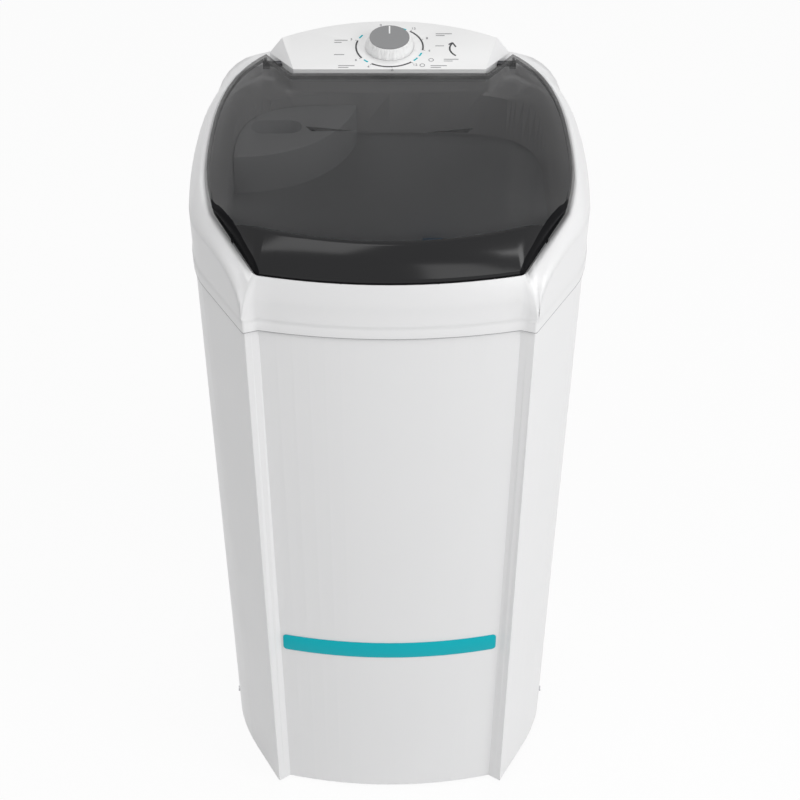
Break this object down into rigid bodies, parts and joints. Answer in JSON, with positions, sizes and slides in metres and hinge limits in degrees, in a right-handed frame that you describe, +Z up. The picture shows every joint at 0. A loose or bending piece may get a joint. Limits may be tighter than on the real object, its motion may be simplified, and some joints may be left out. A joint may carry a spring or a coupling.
{
  "type": "washing machine",
  "caption": "Top-loading pulsator washing machine: tapered cabinet, smoked hinged lid, tub, pulsator, belt drive, motor and programme knob.",
  "frame": {"origin": "middle of the footprint, on the floor under the feet", "axes": "+Z up, -Y towards the front panel, +X to the right as seen from the front"},
  "size_m": [0.5124, 0.5552, 0.9631],
  "materials": {
    "white_plastic": "glossy white moulding",
    "panel_white": "satin white panel",
    "teal": "glossy teal strip",
    "dark_print": "printed dark ink",
    "smoked_plastic": "clear smoked moulding",
    "dark_plastic": "moulded dark plastic",
    "grey_plastic": "moulded grey plastic",
    "tub_plastic": "satin moulded plastic",
    "knob_white": "satin moulded plastic",
    "knob_grey": "satin grey disc",
    "filter_blue": "moulded mesh",
    "rubber": "moulded rubber",
    "steel": "zinc plated",
    "sheet_metal": "galvanised sheet",
    "aluminium": "die cast",
    "bronze": "sintered bronze",
    "copper": "varnished copper winding"
  },
  "bodies": {
    "cabinet": {"cabinet": "white_plastic", "front_band": "teal", "base_frame": "dark_plastic", "feet": "rubber", "base_screws": "steel", "back_cover": "white_plastic", "back_cover_screws": "steel", "top_deck": "white_plastic", "deck_screws": "steel", "tub": "tub_plastic", "tub_seal": "rubber", "tub_screws": "steel", "detergent_tray": "tub_plastic", "filter_frame": "tub_plastic", "drain_grille": "grey_plastic", "drain_stub": "rubber", "drain_hose": "grey_plastic", "hose_clips": "steel", "outlet_spigot": "grey_plastic", "cable_gland": "rubber", "bearing_housing": "aluminium", "shaft_bushes": "bronze", "shaft_seal": "rubber", "housing_screws": "steel", "motor_plate": "sheet_metal", "plate_bushes": "rubber", "plate_bolts": "steel", "motor_screws": "steel", "stator": "steel", "windings": "copper", "upper_shield": "aluminium", "lower_shield": "aluminium", "motor_bearings": "steel", "capacitor": "grey_plastic", "capacitor_clip": "steel", "drive_belt": "rubber", "console_housing": "white_plastic", "control_panel": "panel_white", "console_screws": "steel", "dial_dark": "dark_print", "dial_teal": "teal", "timer_body": "grey_plastic", "timer_screws": "steel", "mains_lead": "rubber", "motor_lead": "rubber"},
    "lid": {"lid": "smoked_plastic", "hinge_pins": "steel", "lid_bumpers": "rubber"},
    "knob": {"knob": "knob_white", "knob_cap": "knob_grey", "knob_pointer": "knob_white", "timer_shaft": "steel"},
    "pulsator": {"pulsator": "tub_plastic", "pulsator_cap": "grey_plastic", "drive_shaft": "steel", "big_pulley": "aluminium", "pulley_nut": "steel"},
    "rotor": {"rotor": "steel", "motor_pulley": "aluminium"},
    "filter": {"lint_filter": "filter_blue"}
  },
  "joints": [
    {"name": "lid_hinge", "type": "hinge", "parent": "cabinet", "child": "lid", "pos_m": [0, 0.196, 0.928], "axis": [-1, 0, 0], "range_deg": [0, 95]},
    {"name": "knob_turn", "type": "hinge", "parent": "cabinet", "child": "knob", "pos_m": [0, 0.214, 0.94376], "axis": [0, 0.1219, -0.9925], "continuous": true},
    {"name": "pulsator_spin", "type": "hinge", "parent": "cabinet", "child": "pulsator", "pos_m": [0, -0.043, 0.36], "axis": [0, 0, 1], "continuous": true},
    {"name": "motor_spin", "type": "hinge", "parent": "cabinet", "child": "rotor", "pos_m": [0, 0.069, 0.27], "axis": [0, 0, 1], "continuous": true},
    {"name": "filter_lift", "type": "slide", "parent": "cabinet", "child": "filter", "axis": [0, 0, 1], "range_m": [0, 0.15]}
  ],
  "couplings": [
    {"joint": "motor_spin", "follows": "pulsator_spin", "ratio": 4.2676}
  ]
}
